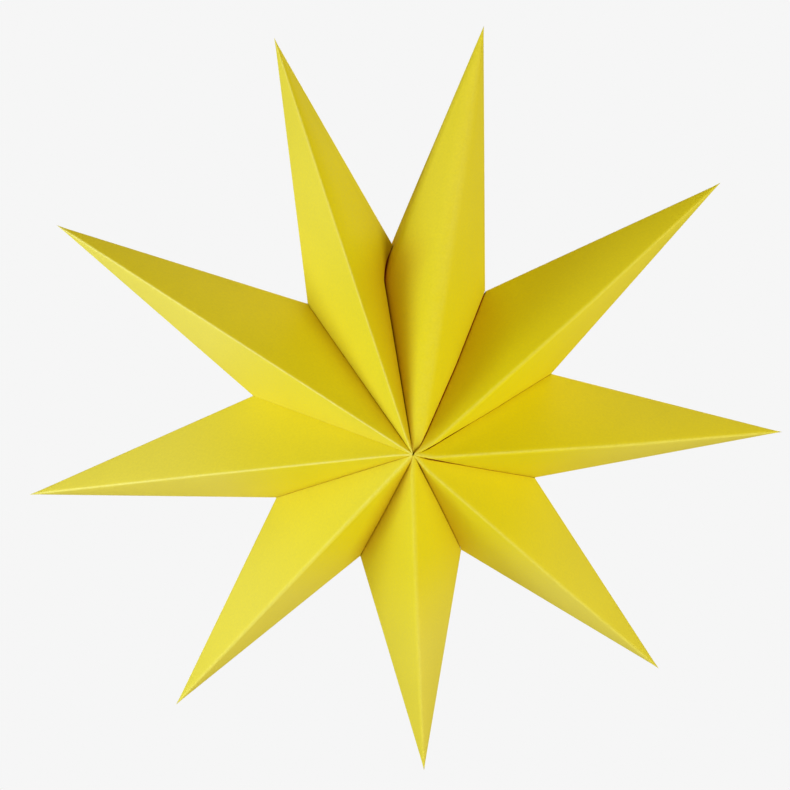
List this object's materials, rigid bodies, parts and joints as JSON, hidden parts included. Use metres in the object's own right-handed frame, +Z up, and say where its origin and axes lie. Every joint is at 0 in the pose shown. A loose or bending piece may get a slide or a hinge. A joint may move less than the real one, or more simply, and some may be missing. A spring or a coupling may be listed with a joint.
{
  "type": "paper star lantern",
  "caption": "Hollow star lantern of folded yellow card: ridged points glued flap to flap in a ring and taped shut along one seam, to hang as a decoration.",
  "frame": {"origin": "centre of the star: on the hub axis, in the mid plane, where a lamp hangs", "axes": "+Z up through the closing seam, +X to the right seen from the front, -Y out of the front face"},
  "size_m": [0.2979, 0.1076, 0.2951],
  "materials": {
    "card": "matte yellow card, crisp folds",
    "tape": "amber double-sided tape"
  },
  "bodies": {
    "root": {"point_1": "card", "point_2": "card", "point_3": "card", "point_4": "card", "point_5": "card", "point_6": "card", "point_7": "card", "point_8": "card", "point_9": "card", "closing_tape_front": "tape", "closing_tape_rear": "tape"}
  },
  "joints": []
}
